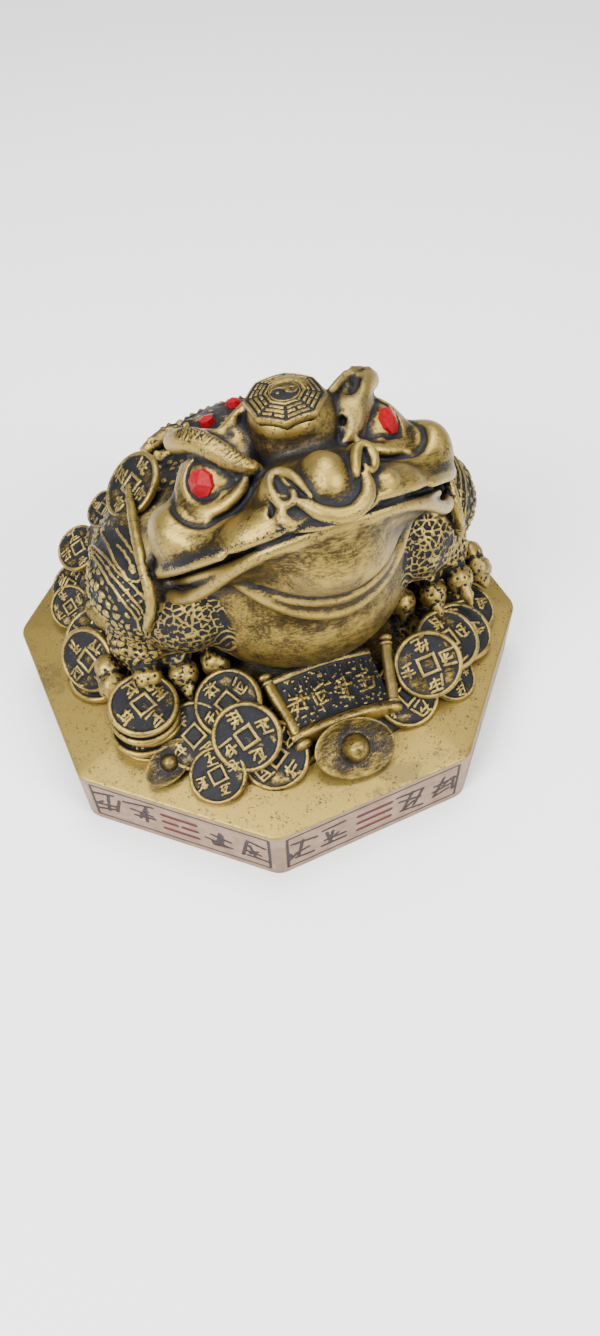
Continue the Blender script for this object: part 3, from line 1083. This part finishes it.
DULL_GOLD, BRIGHT_GOLD = (0.038, 0.0255, 0.008), (0.315, 0.222, 0.054)
DUST, STAIN, BLUE_BLACK = (0.085, 0.07, 0.05), (0.07, 0.056, 0.038), (0.004, 0.005, 0.007)
DEEP_TAN, PALE_TAN = (0.19, 0.118, 0.074), (0.28, 0.185, 0.122)
BROWN_INK, RED_INK = (0.018, 0.008, 0.007), (0.1, 0.008, 0.009)
gilt, tree, shader = new_material("antique_gold")
fine_rise, broad_rise, dark_ground, side_paint = (stored(layer) for layer in FINISH)
shut_in, grime = shut_within(0.0028), shut_within(0.016)
speck, cloud = noise(1700, 4, 0.65), noise(210, 4, 0.6)
brushed = noise(1500, 4, 0.7, (0.22, 1.0, 1.0))
worn_cloud = less(cloud, 0.5)
hollow = plus(times(fine_rise, -5.5), times(broad_rise, -0.6))
soot = plus(times(shut_in, 1.5), hollow)
for layer, weight in ((dark_ground, 0.8), (less(speck, 0.5), 1.9), (worn_cloud, 0.5),
                      (less(brushed, 0.5), -0.5)):
    soot = plus(soot, times(layer, weight))
pitted = times(between(noise(1250, 5, 0.72), 0.54, 0.6), between(cloud, 0.42, 0.58))
patina = figure("MAXIMUM", between(soot, 0.36, 0.5), times(pitted, 0.9))
stain = times(between(noise(48, 5, 0.62), 0.54, 0.62), 0.45)
dust = between(plus(plus(grime, hollow), times(worn_cloud, 0.6)), 0.2, 0.7)
shine = plus(times(less(brushed, 0.5), 1.6), times(hollow, -1.6))
shine = plus(plus(shine, 0.5), times(worn_cloud, -1.0))
gold = mixed(between(shine, 0.2, 1.0), DULL_GOLD, BRIGHT_GOLD)
gold = mixed(stain, mixed(times(dust, 0.6), gold, DUST), STAIN)
on_side, painted, crimson = (between(side_paint, low, low + 0.4) for low in (0.5, 1.3, 2.2))
panel = mixed(between(cloud, 0.3, 0.7), DEEP_TAN, PALE_TAN)
color = mixed(painted, mixed(on_side, gold, panel), mixed(crimson, BROWN_INK, RED_INK))
patina_here = times(patina, less(1.0, on_side))
dull = figure("MAXIMUM", patina_here, on_side)
feed(shader, "Base Color", mixed(patina_here, color, BLUE_BLACK))
feed(shader, "Specular IOR Level", 0.25)
feed(shader, "Metallic", less(0.88, times(dull, 0.78)))
feed(shader, "Roughness", plus(times(brushed, 0.25), plus(times(dull, 0.2), 0.26)))
grain = plus(speck, times(brushed, 0.6))
bump = node("Bump", ("Strength", 0.35), ("Distance", 0.0004), ("Height", grain))
feed(shader, "Normal", bump.outputs[0])
gilt_mesh.materials.append(gilt)
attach(gilt_toad, "root")
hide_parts("toad_casting")

# The stones: opaque red cut stones glued into the casting, two in the eyes and seven along the
# back. Each is a low cone of wide facets over a straight edge.
DEEP_RED, BRIGHT_RED = (0.19, 0.0012, 0.004), (0.27, 0.004, 0.009)
red_stone, tree, shader = new_material("red_stone")
feed(shader, "Base Color", mixed(between(noise(900, 3, 0.6), 0.3, 0.75), DEEP_RED, BRIGHT_RED))
feed(shader, "Roughness", 0.35)
feed(shader, "Specular IOR Level", 0.12)
for name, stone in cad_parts.items():
    if "gem" in name:
        stone.data.materials.clear()
        stone.data.materials.append(red_stone)

# The place where it stands: a plain pale floor, soft light from above, from the left and from the
# front, and a camera held above and to the left of the front.
FLOOR_REACH = 3.0
floor_mesh = bpy.data.meshes.new("floor")
corners = [(x * FLOOR_REACH, y * FLOOR_REACH, 0) for x, y in ((-1, -1), (1, -1), (1, 1), (-1, 1))]
floor_mesh.from_pydata(corners, [], [(0, 1, 2, 3)])
floor = placed("floor", floor_mesh)
paper, tree, shader = new_material("pale_paper")
feed(shader, "Base Color", (0.95, 0.95, 0.95, 1))
feed(shader, "Roughness", 0.9)
floor_mesh.materials.append(paper)

sky = bpy.data.worlds.new("studio")
bpy.context.scene.world = sky
sky.use_nodes = True
sky.node_tree.nodes["Background"].inputs[0].default_value = (1, 1, 1, 1)
sky.node_tree.nodes["Background"].inputs[1].default_value = 0.5


def lamp(name, place, size, power):
    """A soft square lamp that looks at the figure."""
    light = bpy.data.lights.new(name, "AREA")
    light.size, light.energy = size, power
    holder = placed(name, light)
    holder.location = place
    way = Vector((0, 0, 0.06)) - Vector(place)
    holder.rotation_euler = way.to_track_quat("-Z", "Y").to_euler()


lamp("window_left", (-0.65, -0.3, 0.75), 0.4, 18)
lamp("fill_front", (0.4, -0.7, 0.7), 0.35, 12)
lamp("top", (0.1, 0.2, 0.95), 0.5, 12)

CAMERA_PLACE, CAMERA_SIDE, CAMERA_HEIGHT = (-0.07835, -0.20555, 0.28839), -23.5453, 53.3726
CAMERA_ROLL, FOCAL, PHOTO_HEIGHT, SENSOR = -2.1955, 981.83, 1336, 36
az, el, tilt = radians(CAMERA_SIDE), radians(CAMERA_HEIGHT), radians(CAMERA_ROLL)
back = Vector((sin(az) * cos(el), -cos(az) * cos(el), sin(el)))
right = (-back).cross(Vector((0, 0, 1))).normalized()
up = right.cross(-back)
right, up = cos(tilt) * right + sin(tilt) * up, cos(tilt) * up - sin(tilt) * right
lens = bpy.data.cameras.new("camera")
camera = placed("camera", lens)
camera.matrix_world = Matrix([*zip(right, up, back, CAMERA_PLACE), (0, 0, 0, 1)])
lens.sensor_width, lens.lens, lens.clip_start = SENSOR, FOCAL * SENSOR / PHOTO_HEIGHT, 0.01
bpy.context.scene.camera = camera
